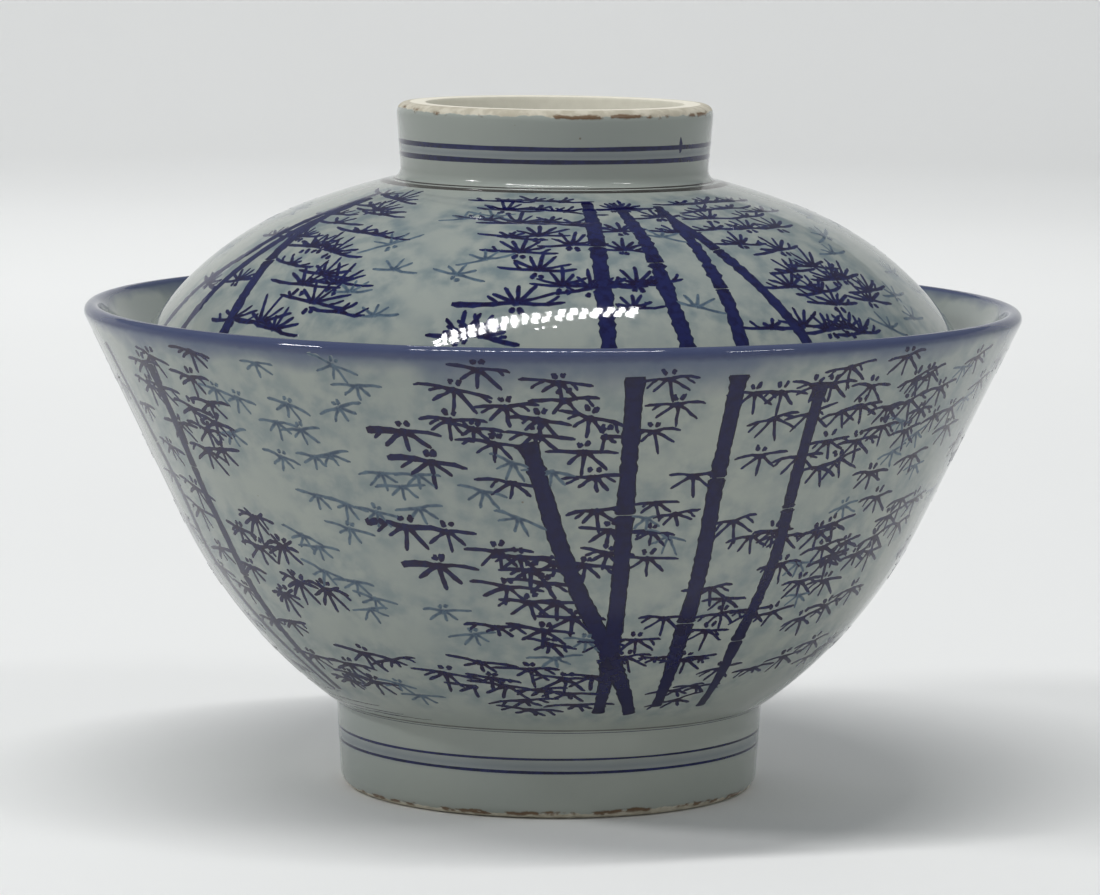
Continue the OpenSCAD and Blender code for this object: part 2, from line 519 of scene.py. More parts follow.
class Brush:
    """Draws bamboo on a skin, in local millimetres right and up. On the lid, sprays hang upwards,
    so that they are upright when it is turned over as a dish."""

    def __init__(self, skin, seed):
        self.skin = skin
        self.upright = -1 if skin.by_radius else 1
        self.raggedness = 0.11 if skin.by_radius else 0.06
        self.rng = np.random.default_rng(seed)
        self.canes = Strokes(skin)
        self.dark = Strokes(skin)
        self.pale = Strokes(skin)
        self.marks = []

    def _put(self, layer, centre, path, half, lift, ink):
        """A stroke given as right and up offsets from a (turn, up) centre."""
        path = np.asarray(path, float)
        turn, up = centre
        ups = np.clip(up + path[:, 1], 0.02, self.skin.up[-1] - 0.02)
        turns = turn + path[:, 0] / self.skin.radius_at(up)
        layer.add(turns, ups, half, lift, ink)

    def stroke(self, layer, centre, start, end, width, lift, shape=STROKE_WIDTH, bend=0.0):
        """One stroke from start to end, in local millimetres. bend raises its middle."""
        start = np.asarray(start, float)
        path = start + (np.asarray(end, float) - start) * STROKE_T[:, None]
        path[:, 1] += 4 * bend * STROKE_T * (1 - STROKE_T)
        path += self.rng.normal(0, 0.035, path.shape)
        jitter = 1 + self.rng.normal(0, 0.09, len(STROKE_T))
        ink = STROKE_INK * self.rng.uniform(0.8, 1.0)
        self._put(layer, centre, path, width / 2 * shape * jitter, lift, ink)

    def cane(self, marks, width, nodes=()):
        """A cane through (angle, mark) points from top to bottom, parted at its nodes."""
        marks = np.asarray(marks, float)
        turn = np.radians(marks[:, 0])
        up = self.skin.up_at(marks[:, 1])
        radius = self.skin.radius_at(up)
        along = lengths(np.stack([turn * radius.mean(), up], axis=1))
        rising = np.argsort(up)
        cuts = sorted(np.interp(self.skin.up_at(node), up[rising], along[rising]) for node in nodes)
        stops = [0.0] + list(cuts) + [along[-1]]
        for k in range(len(stops) - 1):
            start = stops[k] + (NODE_GAP / 2 if k else 0)
            end = stops[k + 1] - (NODE_GAP / 2 if k < len(stops) - 2 else 0)
            inner = np.linspace(start, end, max(8, int((end - start) / 0.55)))
            places = np.sort(np.concatenate([inner, [start + 0.12, start + 0.3, end - 0.3, end - 0.12]]))
            from_end = np.minimum(places - start, end - places)
            flare = 1 + 0.22 * np.exp(-from_end / 0.8)
            if k == 0:
                flare = flare + 0.25 * np.exp(-(places - start) / 1.1)
            corner = 0.75 + 0.25 * smoothstep(from_end, 0, 0.25)
            ragged = 1 + self.rng.normal(0, self.raggedness, len(places))
            taper = 1.05 - 0.35 * smoothstep(places / along[-1], 0.75, 1.0)
            half = width / 2 * flare * corner * ragged * taper
            ink = 0.5 + 0.4 * np.exp(-from_end / 1.5)
            self.canes.add(self._eased(places, along, turn), self._eased(places, along, up),
                           half, CANE_LIFT, ink, columns=5)
        self.marks.extend(zip(turn, up))

    def _eased(self, places, along, values):
        """Values along a chain of points, with its bends rounded."""
        fine = np.linspace(along[0], along[-1], EASE_STEPS)
        raw = np.interp(fine, along, values)
        kernel = np.hanning(2 * EASE_WIDTH + 1)
        kernel /= kernel.sum()
        left = 2 * raw[0] - raw[EASE_WIDTH:0:-1]
        right = 2 * raw[-1] - raw[-2:-EASE_WIDTH - 2:-1]
        smooth = np.convolve(np.concatenate([left, raw, right]), kernel, mode="valid")
        return np.interp(places, fine, smooth)

    def ground(self, start, end, mark):
        """A long thin stroke of ground between two angles, just over the foot."""
        steps = GROUND_STEPS
        turn = np.radians(np.linspace(start, end, steps))
        up = self.skin.up_at(mark) + self.rng.normal(0, 0.04, steps)
        half = 0.14 * np.sin(np.linspace(0.25, math.pi - 0.25, steps))
        half = half * (1 + self.rng.normal(0, 0.15, steps))
        self.dark.add(turn, up, half, GROUND_LIFT, np.full(steps, 0.8))

    def spray(self, centre, size=1.0, form="star", width=0.7, pale=False, bold=0.0, lean=0.0,
              arms=4.2):
        """A spray of bamboo: two long level arms, hanging leaves between them and two dots on top.
        bold makes the left arm longer, thick and blunt, and lean turns the whole spray."""
        rng = self.rng
        layer = self.pale if pale else self.dark
        lift = PALE_LIFT if pale else DARK_LIFT
        if pale:
            size = size * PALE_SIZE
        lean = rng.normal(lean, 0.22 if pale else 0.10)

        def put(start, end, share, shape=STROKE_WIDTH, bend=0.0):
            places = [np.array([x - lean * y, y + lean * x]) * size for x, y in (start, end)]
            places = [place * [1, self.upright] for place in places]
            rise = bend * size * self.upright
            self.stroke(layer, centre, *places, width * share, lift, shape, rise)

        radius = self.skin.radius_at(centre[1])
        self.marks.append(centre)
        put((-0.55, 0.02), (0.55, -0.02), 1.5, BLUNT_WIDTH)
        for side in ARMS.get(form, (-1, 1)):
            reach = side * arms * rng.uniform(0.85, 1.15)
            tip = np.array([reach, rng.uniform(-0.35, 0.45)])
            bend = rng.uniform(0.1, 0.4)
            if bold and side < 0:
                put((0, 0), tip * [bold, 1], 1.1, BOLD_WIDTH, bend)
            else:
                put((0, 0), tip, 1.0, STROKE_WIDTH, bend)
            self.marks.append((centre[0] + 0.6 * size * reach / radius, centre[1]))
            if not pale and rng.uniform() < 0.6:
                fork = tip * rng.uniform(0.3, 0.7)
                fork[1] += 0.7 * bend
                put(fork, fork + [side * rng.uniform(0.6, 1.5), -rng.uniform(0.7, 1.3)], 0.8)
        for x, y in HANGING[form]:
            end = np.array([x, y]) * rng.uniform(0.8, 1.15) + rng.normal(0, 0.2, 2)
            put((0.13 * x, 0), end, rng.uniform(0.85, 1.05))
        if form == "flat" or rng.uniform() < (0.75 if pale else 0.2):
            return
        for side in (-1, 1):
            dot = np.array([side * rng.uniform(0.45, 0.8), rng.uniform(1.3, 1.75)])
            put(dot * rng.uniform(0.4, 0.6), dot, 1.15, BLUNT_WIDTH)

    def row(self, sprays, pale=False):
        """Sprays side by side. Each is (angle, mark) and then, if wanted, its own looks."""
        for item in sprays:
            looks = dict(item[2]) if len(item) > 2 else {}
            centre = (math.radians(item[0]), float(self.skin.up_at(item[1])))
            angle = item[0] % 180
            if self.skin.by_radius:
                habit = {"width": 0.76, "arms": 4.5, "lean": 0.03}
                if not pale:
                    habit["form"] = "wide"
            elif 100 < angle < 150:
                habit = {"width": 0.74, "arms": 3.9, "lean": -0.16}
            elif angle > 150 or angle < 9:
                habit = {"width": 0.74, "arms": 4.2, "lean": -0.07}
            elif angle > 37:
                habit = {"width": 0.64, "arms": 3.4, "lean": 0.2}
            else:
                habit = {"width": 0.62, "arms": 3.5, "lean": 0.03}
            self.spray(centre, pale=pale, **{**habit, **looks})


# The print goes around the bowl twice, so each place below is drawn again half a turn further on.

BOLD = {"bold": 1.1, "size": 1.15, "width": 0.86}
BOLDER = {"bold": 1.25, "size": 1.15, "width": 0.95}
SMALL = {"size": 0.8}
FULL = {"form": "wide", "size": 1.25}
BURST = {"form": "burst", "arms": 3.0}
FLAT = {"form": "flat"}
TWO = {"form": "two"}

BOWL_CANES = [
    # points from top to bottom, width, heights of the open nodes
    ([(-3, 50.7), (1, 38), (4.5, 31), (9.5, 24), (18.5, 14)], 2.35, [22.5]),
    ([(9.5, 59), (10, 42), (10.5, 28.5), (11, 14.3)], 2.3, [41.5, 22]),
    ([(22, 59), (22, 45), (22.5, 36.5), (22.5, 24), (24, 15)], 2.25, [46, 27]),
    ([(33.5, 57.5), (34, 45), (35, 36), (34, 24.5), (36, 14.5)], 1.85, [41.5, 24]),
    ([(-58.5, 57), (-58, 51.5), (-58.5, 41), (-57.5, 34.5), (-57.5, 27.5), (-56, 20), (-54, 15)],
     1.7, [44, 30]),
    ([(-72, 58.5), (-70, 49), (-68, 40.5), (-69, 32), (-65, 25), (-60, 18.5), (-57, 14.8)], 1.6, [46, 33]),
    ([(-80, 59), (-79, 47), (-77.5, 36), (-76, 26), (-73.5, 15.5)], 1.5, [42]),
]

BOWL_DARK = [
    [(-8.5, 59.7), (0.7, 58.2)],
    [(-11.5, 57), (-5.5, 55), (-1.5, 53.5), (4.5, 53.8)],
    [(-18.5, 51.5, BOLD), (-12.5, 53.2), (-7, 50.4), (-2, 51.5), (4, 49.5)],
    [(-15.5, 47.8, BOLD), (-5, 45.5), (5.5, 46.3)],
    [(-20.5, 39.3, BOLDER), (-14.5, 39), (-7.5, 36.7), (-2.8, 34.3)],
    [(6, 42), (8, 39.5)],
    [(-16.5, 34.5, BOLD), (-6.5, 32), (-3, 30), (1, 30), (3.5, 28)],
    [(-4.5, 36), (0.5, 35.3, SMALL), (-1, 32.6, TWO)],
    [(-8.5, 26.6, FLAT), (-1, 26.3), (0, 24.4, SMALL)],
    [(-12.5, 21.6, FLAT), (-3.5, 20.8), (3, 19.5), (8, 19.8)],
    [(-15, 18, {"form": "left"}), (-8.5, 18.3), (-5, 16.2, FLAT)],
    [(-4, 14.8, FLAT), (4, 17.3, FLAT)],
    [(-11, 19.4, SMALL), (-1, 18, SMALL), (6.5, 15.6, FLAT), (9, 24.5, SMALL)],
    [(-9.5, 52.2, SMALL), (1.5, 56, TWO), (6.5, 51.5, {"form": "right"})],
    [(13.5, 58.6), (15, 55.4), (12.5, 52)],
    [(14, 43, SMALL), (17, 41.5, SMALL), (18.5, 46.3)],
    [(14, 39.2, SMALL), (14, 35.8)],
    [(8, 36.5, SMALL), (5, 35, SMALL)],
    [(18.5, 27.8), (14.5, 24.9), (13.5, 22.5)],
    [(11, 22, {"form": "flat", "size": 0.6}), (19, 22.2, {"form": "flat", "size": 0.7}),
     (28, 22, {"form": "flat", "size": 0.7})],
    [(24.5, 56.5), (28, 56.5), (32.5, 57)],
    [(28, 53.2), (33, 53.5)],
    [(27.5, 48.5), (33.5, 48)],
    [(26, 40.2), (29.5, 38), (33, 38.5)],
    [(25, 31.5), (28, 30), (28.5, 28)],
    [(27, 25.7), (25, 21.8)],
    [(26.5, 17.3, FLAT), (31, 17.6, FLAT)],
    [(28, 15.8, FLAT), (34, 20, TWO)],
    [(35, 57.2), (37, 59.2)],
    [(41.5, 56.5), (46, 60)],
    [(41, 54), (49.5, 57)],
    [(38, 53.5), (46, 53.5)],
    [(37.5, 49.8), (42.5, 49.5), (46.5, 51)],
    [(37.5, 46.5), (40.5, 47.3)],
    [(35, 37.7), (41.5, 37.8), (44, 35.7), (46, 33.7)],
    [(36.5, 34), (42, 31.3), (48, 31)],
    [(34.5, 28), (39, 27.5, TWO)],
    [(58, 38.5), (60, 40.5), (56.5, 36)],
    [(57, 34), (63, 37), (65, 40)],
    [(43, 19.5, FLAT), (50, 20.5), (57, 22)],
    [(47, 26), (52, 27.3), (58, 29)],
    [(66, 21), (61, 19.5, FLAT)],
    [(50, 54), (52, 50)],
    [(48, 45), (57, 46.5)],
    [(44, 38.7), (52, 41.5)],
    [(62, 52), (64, 49.5)],
    [(52, 57.3), (56, 55.2), (58, 51.5, SMALL), (53.5, 52.6, SMALL)],
    [(49, 36, SMALL), (53, 34, SMALL), (47, 34.5, SMALL)],
    [(63, 58.5), (69, 55)],
    [(75, 57.5, SMALL), (73, 47, SMALL), (79, 45.5), (74, 33, SMALL), (81, 30.5), (77, 21)],
    [(-60, 57), (-57, 58)],
    [(-61, 54), (-58, 54), (-49.5, 56)],
    [(-47.5, 59.7)],
    [(-47.5, 53), (-52, 52)],
    [(-48, 50.5), (-50.5, 49.3), (-57, 49.5)],
    [(-49, 47), (-52.5, 46.5)],
    [(-61, 41), (-63, 38), (-66, 51, SMALL), (-63.5, 46, SMALL), (-69, 42, SMALL)],
    [(-47.5, 38.5, BURST), (-43.5, 35.2, BURST), (-52.5, 36.5, SMALL)],
    [(-49, 34.5), (-43, 30.5, BURST)],
    [(-37.5, 30, BURST)],
    [(-48, 28.5, BURST), (-54, 31.5, SMALL), (-60, 28, SMALL), (-66, 30, SMALL)],
    [(-62, 33, SMALL), (-52, 19.8), (-58, 24, SMALL), (-51, 24.5, SMALL)],
    [(-84, 54, SMALL), (-75, 53, SMALL), (-83, 44.5, SMALL), (-82, 36, SMALL), (-73, 35, SMALL)],
    [(-80, 28, SMALL), (-70.5, 23, SMALL), (-76, 19.5, SMALL), (-66, 17.5, FLAT)],
    [(-36, 21.5), (-30, 21, FLAT), (-20, 19.7)],
    [(-42, 19.5), (-38, 17.3)],
    [(-44, 18, SMALL), (-46, 17, SMALL)],
]

BOWL_PALE = [
    [(-42, 54.2), (-34, 54)],
    [(-26.5, 54)],
    [(-37, 59)],
    [(-26, 59.5), (-23.5, 57)],
    [(-36.5, 51.5), (-33, 50.8)],
    [(-45.5, 55), (-45.5, 49.5)],
    [(-37.5, 47), (-32, 47.5), (-29.5, 48)],
    [(-33.5, 42.5)],
    [(-24.5, 41), (-29.5, 38.5)],
    [(-22.5, 46), (-20, 44.5), (-17.5, 46)],
    [(-9, 44.3), (-4.5, 41)],
    [(-29, 41.7), (-18, 41.8)],
    [(-38.5, 37), (-36, 35.7)],
    [(-36.5, 32.5)],
    [(-31, 31.5), (-28.5, 29.5), (-30, 28)],
    [(-17, 28.5), (-12.5, 25.5)],
    [(-32, 17.5), (-28, 16)],
    [(16.5, 38.5), (13, 41)],
    [(40, 34), (43, 29.5)],
    [(51, 47.5), (45, 41)],
    [(60, 57.5), (55, 49.5), (66, 53), (59, 45), (50, 51.5)],
    [(82, 57), (88, 53.5), (86, 48.5), (91, 43.5), (84, 39.5)],
    [(89, 35.5), (93, 30), (86, 25.5), (92, 21), (73, 40.5)],
    [(6, 25), (1, 22.5)],
    [(-5, 48), (0, 47)],
]

BOWL_GROUND = [
    # start angle, end angle, height
    (-72, -38, 12.6),
    (-66, -44, 13.4),
    (-58, -30, 12.2),
    (-75, -55, 14.6),
]

LID_CANE_END = 52.6  # just short of the lid's edge, where the lip hides it
LID_CANES = [
    # points from the edge to the ring, width, radii of the open nodes
    ([(-73, LID_CANE_END), (-73, 50), (-72, 47), (-66.5, 41.5), (-60, 25.5)], 1.7, []),
    ([(-65, LID_CANE_END), (-65, 50), (-64.5, 46.5), (-58, 27)], 1.8, []),
    ([(-53, LID_CANE_END), (-53, 50.5), (-55, 45.5), (-57.5, 40.5), (-61, 29)], 1.9, [42]),
    ([(7.7, LID_CANE_END), (7.7, 49.5), (8, 40.5), (9, 25.5)], 2.1, [37]),
    ([(18.8, LID_CANE_END), (18.8, 49.7), (18, 44), (18, 36), (17, 26.5)], 2.05, [40]),
    ([(27, LID_CANE_END), (27, 49.7), (27.5, 46), (27.5, 40), (28, 27)], 1.9, [44]),
    ([(37.8, LID_CANE_END), (37.8, 49.6), (35, 44.5), (31.5, 38), (27, 28)], 1.75, [38]),
]

LID_DARK = [
    [(-56, 25.5, FLAT), (-47, 26.5), (-52, 29, FLAT)],
    [(-47, 30), (-43, 31, FLAT), (-57, 32, FLAT)],
    [(-52, 34, FLAT), (-42, 35.5, FLAT), (-37, 35.8, FLAT)],
    [(-56, 37.5, SMALL), (-50, 39), (-47, 39), (-43, 39.5)],
    [(-50, 42, FLAT), (-43, 44.5, FULL), (-40.5, 43), (-36.5, 44, FULL)],
    [(-66, 38, SMALL), (-60, 45, SMALL), (-69, 46, SMALL)],
    [(-38.5, 46.5, FULL), (-33, 47.3, FLAT)],
    [(-53, 49), (-46.5, 49, FULL), (-43, 49.5)],
    [(-14, 25.3, FLAT), (-6, 24.8, FLAT), (2, 25.2, FLAT)],
    [(-12, 28), (-4, 27.6, FLAT), (3, 28.2, FLAT)],
    [(-15, 31, FLAT), (-8, 31.5), (-1, 31, FLAT), (5, 32, FLAT)],
    [(-9, 35, FLAT), (-3, 34.6), (3.5, 36.5)],
    [(14, 33.5, SMALL), (16, 27.5, SMALL), (26, 34, SMALL)],
    [(-6, 38), (-2.5, 41, {"form": "wide", "size": 1.1})],
    [(-5.5, 45.5, {"form": "wide", "bold": 1.3, "size": 1.2, "width": 0.85}), (1.5, 43.2), (6, 43.5)],
    [(-13, 49, {"width": 0.96}), (-10, 49, {"width": 0.96})],
    [(10, 43, FLAT), (13.5, 43), (16, 43, FLAT)],
    [(13, 37.5, SMALL), (12, 46, SMALL)],
    [(18, 27.5, SMALL), (25, 30, SMALL)],
    [(36, 26.5, FLAT), (46, 26, FLAT), (56, 26.5, FLAT)],
    [(40, 28.6, FLAT), (50, 28.4, FLAT), (60, 30, FLAT)],
    [(38, 30.8), (50, 31, FLAT)],
    [(36, 33.5, FLAT), (45, 33.8), (54, 34)],
    [(38, 37, SMALL), (46, 38.5)],
    [(44, 42), (50, 41.5), (52, 43.5)],
    [(46, 45), (55, 43.5), (59, 45.5)],
    [(41, 44), (48, 46.5), (57, 46.5)],
    [(33, 48.5, FLAT), (38.5, 48.5), (43, 49)],
    [(47, 49), (49.5, 49.5)],
    [(-46, 52, SMALL), (-36, 52, SMALL), (-12, 52.3, SMALL), (3, 52.2, SMALL)],
    [(14, 52.2, SMALL), (35, 52, SMALL), (52, 52.2, SMALL), (60, 52, SMALL)],
]

LID_PALE = [
    [(-27.5, 41.7)],
    [(-27, 47.5), (-33, 45)],
    [(-32, 37.5)],
    [(-16, 42), (-12, 39.5)],
    [(-21, 31), (-14, 30)],
    [(66, 46.5), (66, 49)],
    [(57, 49.5)],
    [(22, 35), (22, 46)],
    [(60, 40), (66, 37)],
    [(76, 44), (82, 47)],
    [(88, 51), (96, 42), (90, 37), (80, 33), (98, 33), (-26, 52), (72, 52)],
]


def paint_bamboo(skin, seed, canes, dark, pale, ground=()):
    brush = Brush(skin, seed)
    for half_turn in (0, 180):
        for marks, width, nodes in canes:
            brush.cane([(angle + half_turn, mark) for angle, mark in marks], width, nodes)
        for sprays in dark:
            brush.row([(item[0] + half_turn,) + tuple(item[1:]) for item in sprays])
        for sprays in pale:
            brush.row([(item[0] + half_turn,) + tuple(item[1:]) for item in sprays], pale=True)
        for start, end, mark in ground:
            brush.ground(start + half_turn, end + half_turn, mark)
    return brush


def brushed_line(strokes, mark, width, seed, waver=0.05, ink=0.75):
    """A line turned on the wheel with a brush: its width, height and strength vary a little."""
    steps = 360
    turn = np.linspace(0, 2 * math.pi, steps, endpoint=False)
    up = strokes.skin.up_at(mark) + waves(turn, seed, (1, 2, 3, 5), waver)
    half = width / 2 * (1 + waves(turn, seed + 1, (2, 3, 7, 11, 17), 0.22))
    strength = np.clip(ink + waves(turn, seed + 2, (1, 2, 4, 9), 0.2), 0, 1)
    strokes.add_ring(up, half, LINE_LIFT, strength)


# ---------------------------------------------------------------- materials

class Nodes:
    """Short ways to add the shader nodes that the materials share."""

    def __init__(self, name):
        self.material = bpy.data.materials.new(name)
        self.material.use_nodes = True
        self.tree = self.material.node_tree
        self.shader = self.tree.nodes["Principled BSDF"]
        self.place = self.add("ShaderNodeTexCoord").outputs["Object"]

    def add(self, kind, **settings):
        node = self.tree.nodes.new(kind)
        for key, value in settings.items():
            setattr(node, key, value)
        return node

    def plug(self, value, socket):
        if isinstance(value, bpy.types.NodeSocket):
            self.tree.links.new(value, socket)
        elif isinstance(value, tuple) and len(value) == 3 and socket.type == "RGBA":
            socket.default_value = value + (1.0,)
        else:
            socket.default_value = value

    def math(self, operation, first, second=0.0):
        node = self.add("ShaderNodeMath", operation=operation)
        self.plug(first, node.inputs[0])
        self.plug(second, node.inputs[1])
        return node.outputs[0]

    def times(self, first, second):
        return self.math("MULTIPLY", first, second)

    def plus(self, first, second):
        return self.math("ADD", first, second)

    def inverse(self, value):
        return self.math("SUBTRACT", 1.0, value)

    def step(self, value, low, high, bottom=0.0, top=1.0):
        node = self.add("ShaderNodeMapRange", interpolation_type="SMOOTHSTEP")
        for key, number in (("Value", value), ("From Min", low), ("From Max", high),
                            ("To Min", bottom), ("To Max", top)):
            self.plug(number, node.inputs[key])
        return node.outputs["Result"]

    def noise(self, size, detail=2.0, shift=0.0):
        """Noise from 0 to 1 whose features are about size millimetres across."""
        mapping = self.add("ShaderNodeMapping")
        mapping.inputs["Location"].default_value = (shift, shift, shift)
        self.plug(self.place, mapping.inputs["Vector"])
        node = self.add("ShaderNodeTexNoise")
        self.plug(mapping.outputs["Vector"], node.inputs["Vector"])
        self.plug(1 / (size * MM), node.inputs["Scale"])
        self.plug(detail, node.inputs["Detail"])
        return node.outputs["Fac"]

    def cells(self, size):
        node = self.add("ShaderNodeTexVoronoi")
        self.plug(self.place, node.inputs["Vector"])
        self.plug(1 / (size * MM), node.inputs["Scale"])
        return node.outputs["Distance"], node.outputs["Color"]

    def mix(self, factor, first, second):
        node = self.add("ShaderNodeMix", data_type="RGBA")
        self.plug(factor, node.inputs["Factor"])
        self.plug(first, node.inputs["A"])
        self.plug(second, node.inputs["B"])
        return node.outputs["Result"]

    def attribute(self, name):
        return self.add("ShaderNodeAttribute", attribute_name=name).outputs["Fac"]


GLAZE_LIGHT = (0.34, 0.365, 0.328)
GLAZE_DARK = (0.295, 0.325, 0.305)
GLAZE_BLUE = (0.14, 0.19, 0.21)
BAND = (0.055, 0.068, 0.14)
WASH = (0.06, 0.085, 0.165)
CLAY = (0.60, 0.56, 0.46)
CLAY_GREY = (0.46, 0.42, 0.33)
CLAY_INSIDE_PAINTED_LIGHT = (0.90, 0.86, 0.74)
STAIN = (0.13, 0.065, 0.025)
JOIN_BROWN_AND_SHADE = (0.06, 0.045, 0.045)
BOWL_HAZE = 0.6
LID_HAZE = 0.85

GLAZE_IOR = 1.43
WAVINESS = 0.06
ORANGE_PEEL = 0.006
PIT_DEPTH = 0.02


def glaze_gloss(nodes, bare=None):
    """Gloss shared by the glaze and by the print under it: faint waves, orange peel, pinholes."""
    slow = nodes.noise(9.0, detail=2.0)
    peel = nodes.noise(1.6, detail=1.0)
    waviness = nodes.times(slow, WAVINESS)
    texture = nodes.times(peel, ORANGE_PEEL)
    total = nodes.plus(waviness, texture)
    distance, chance = nodes.cells(3.2)
    pit = nodes.step(distance, 0.02, 0.06)
    rare = nodes.step(chance, 0.75, 0.76)
    pit_depth = nodes.times(nodes.inverse(pit), rare)
    total = nodes.math("SUBTRACT", total, nodes.times(pit_depth, PIT_DEPTH))
    bump = nodes.add("ShaderNodeBump")
    bump.inputs["Strength"].default_value = 1.0
    bump.inputs["Distance"].default_value = MM
    nodes.plug(total, bump.inputs["Height"])
    nodes.plug(bump.outputs["Normal"], nodes.shader.inputs["Normal"])
    rough = nodes.step(nodes.noise(14.0, detail=3.0), 0.3, 0.7, 0.025, 0.05)
    if bare is not None:
        grain = nodes.step(nodes.noise(0.5), 0.3, 0.7, 0.72, 0.9)
        rough = nodes.plus(nodes.times(rough, nodes.inverse(bare)), nodes.times(grain, bare))
    nodes.plug(rough, nodes.shader.inputs["Roughness"])
    nodes.shader.inputs["IOR"].default_value = GLAZE_IOR
    return pit_depth


def glaze_material(name, haze_strength):
    """White porcelain under grey-green glaze, with lip band, cobalt haze and bare treads."""
    nodes = Nodes(name)
    cloud = nodes.noise(45.0, detail=2.0)
    colour = nodes.mix(nodes.step(cloud, 0.3, 0.7), GLAZE_DARK, GLAZE_LIGHT)

    # cobalt bled into the glaze around the print
    haze_noise = nodes.noise(2.6, detail=3.0)
    haze = nodes.times(nodes.attribute("haze"), nodes.step(haze_noise, 0.3, 0.75))
    colour = nodes.mix(nodes.times(haze, haze_strength), colour, GLAZE_BLUE)

    # the painted lip: a crisp band and a wash that runs out of it
    lip = nodes.attribute("lip")
    edge = nodes.plus(lip, nodes.times(nodes.noise(1.5), 0.5))
    run_out = nodes.step(nodes.noise(11.0, detail=3.0), 0.3, 0.7, 3.6, 8.0)
    wash = nodes.inverse(nodes.step(lip, 1.2, run_out))
    colour = nodes.mix(nodes.times(wash, 0.85), colour, WASH)
    band = nodes.inverse(nodes.step(edge, 1.7, 2.5))
    strength = nodes.step(nodes.noise(6.0, detail=2.0), 0.3, 0.7, 0.78, 0.95)
    colour = nodes.mix(nodes.times(band, strength), colour, BAND)

    # pale wash between the foot's two lines, and a darker ring in the joins: partly darker glaze gathered
    # there, partly painted shade in the creases
    wash_line = nodes.attribute("wash")
    colour = nodes.mix(nodes.times(wash_line, 0.4), colour, WASH)
    join = nodes.attribute("join")
    join_ragged = nodes.step(nodes.plus(join, nodes.times(nodes.noise(2.5), 0.3)), 0.6, 1.1)
    colour = nodes.mix(nodes.times(join_ragged, 0.85), colour, JOIN_BROWN_AND_SHADE)

    # bare clay on the treads, stained brown where the glaze ends
    bare_field = nodes.attribute("bare")
    uneven = nodes.math("SUBTRACT", nodes.noise(1.8, detail=3.0), 0.5)
    bare_raw = nodes.plus(bare_field, nodes.times(uneven, 0.9))
    bare = nodes.step(bare_raw, -0.08, 0.08)
    clay = nodes.mix(nodes.step(nodes.noise(1.4, detail=4.0), 0.35, 0.65), CLAY_GREY, CLAY)
    # painted light: deeper in the ring's hollow the clay is painted lighter, so that it reads as lit
    clay = nodes.mix(nodes.step(bare_raw, 2.0, 4.0, 0.0, 0.75), clay, CLAY_INSIDE_PAINTED_LIGHT)
    near = nodes.inverse(nodes.step(nodes.math("ABSOLUTE", bare_raw), 0.1, 0.38))
    more = nodes.times(nodes.attribute("stained"), 0.12)
    spots = nodes.step(nodes.plus(nodes.noise(2.6, detail=3.0, shift=3.0), more), 0.56, 0.64)
    stain = nodes.times(near, spots)
    colour = nodes.mix(bare, colour, clay)
    colour = nodes.mix(nodes.times(stain, 0.9), colour, STAIN)

    pits = glaze_gloss(nodes, bare)
    colour = nodes.mix(nodes.times(pits, 0.6), colour, STAIN)
    nodes.plug(colour, nodes.shader.inputs["Base Color"])
    return nodes.material


def print_material(name, thin, thick, border, soft):
    """Cobalt under the glaze, or the dark join line that is partly painted crease shade. ink says how
    thick it lies, rim how near the border is.
    """
    nodes = Nodes(name)
    mottle = nodes.step(nodes.noise(0.9, detail=3.0), 0.3, 0.7, -0.25, 0.25)
    ink = nodes.plus(nodes.attribute("ink"), mottle)
    colour = nodes.mix(nodes.step(ink, 0.35, 1.0), thin, thick)
    rim = nodes.step(nodes.attribute("rim"), soft, 0.95)
    colour = nodes.mix(rim, colour, border)
    glaze_gloss(nodes)
    nodes.plug(colour, nodes.shader.inputs["Base Color"])
    return nodes.material


# ---------------------------------------------------------------- fields of the two turned pieces

NOT_BARE = -5.0
FAR_FROM_LIP = 9.0


def haze_at(skin, marks, turn, up, reach=2.0, full=1.5):
    """How much print lies around each place of a skin, from 0 to 1."""
    flat_turn = turn.reshape(-1)
    flat_up = up.reshape(-1)
    radius = skin.radius_at(flat_up)
    total = np.zeros(len(flat_turn))
    for mark_turn, mark_up in marks:
        gap = (flat_turn - mark_turn + math.pi) % (2 * math.pi) - math.pi
        close = ((gap * radius) ** 2 + (flat_up - mark_up) ** 2) / (2 * reach * reach)
        total += np.exp(-np.minimum(close, 30))
    return np.clip(total / full, 0, 1).reshape(turn.shape)


def bowl_fields(skin, marks):
    section = outline_of(bowl_section())
    lip_along = lengths(section)[np.argmax(section[:, 1])]
    join_z = FOOT_JOIN_Z - 0.1

    def fields(turn, radius, height, along):
        from_lip = along - lip_along
        outside = (from_lip < 0) & (height > FOOT_JOIN_Z)
        up = skin.up_at(height)
        haze = np.where(outside, haze_at(skin, marks, turn, up), 0)
        on_foot = (radius > TREAD_OUT_R) & (height < FOOT_JOIN_Z)
        wash = on_foot * between(height, FOOT_LINES[0] - 0.1, FOOT_LINES[1] + 0.05)
        # darker ring at the step under the wall: partly darker glaze, partly painted shade in the crease
        join = np.where(radius > FOOT_TOP_R - 1, np.exp(-((height - join_z) / 0.22) ** 2), 0)
        ragged = waves(turn, 5, (2, 3, 5, 8, 13), 0.25)
        low = (height < 3) & (radius > TREAD_IN_R - 2)
        reach = np.where(radius > (TREAD_IN_R + TREAD_OUT_R) / 2, 0.75, 1.0)
        bare = np.where(low, reach + ragged - height, NOT_BARE)
        nearer = 1.05 - 0.22 * np.cos(2 * turn) + 0.14 * np.sin(turn)
        nearer = nearer * np.where(from_lip > 0, 1.5, 1.0)
        stained = 0.5 + 0.5 * np.cos(turn)
        return {"lip": np.abs(from_lip) * nearer, "haze": haze, "wash": wash, "join": join,
                "bare": bare, "stained": stained}

    return fields


RING_TO_TREAD = 12.3  # from the ring's foot, up its outside, to the middle of its tread


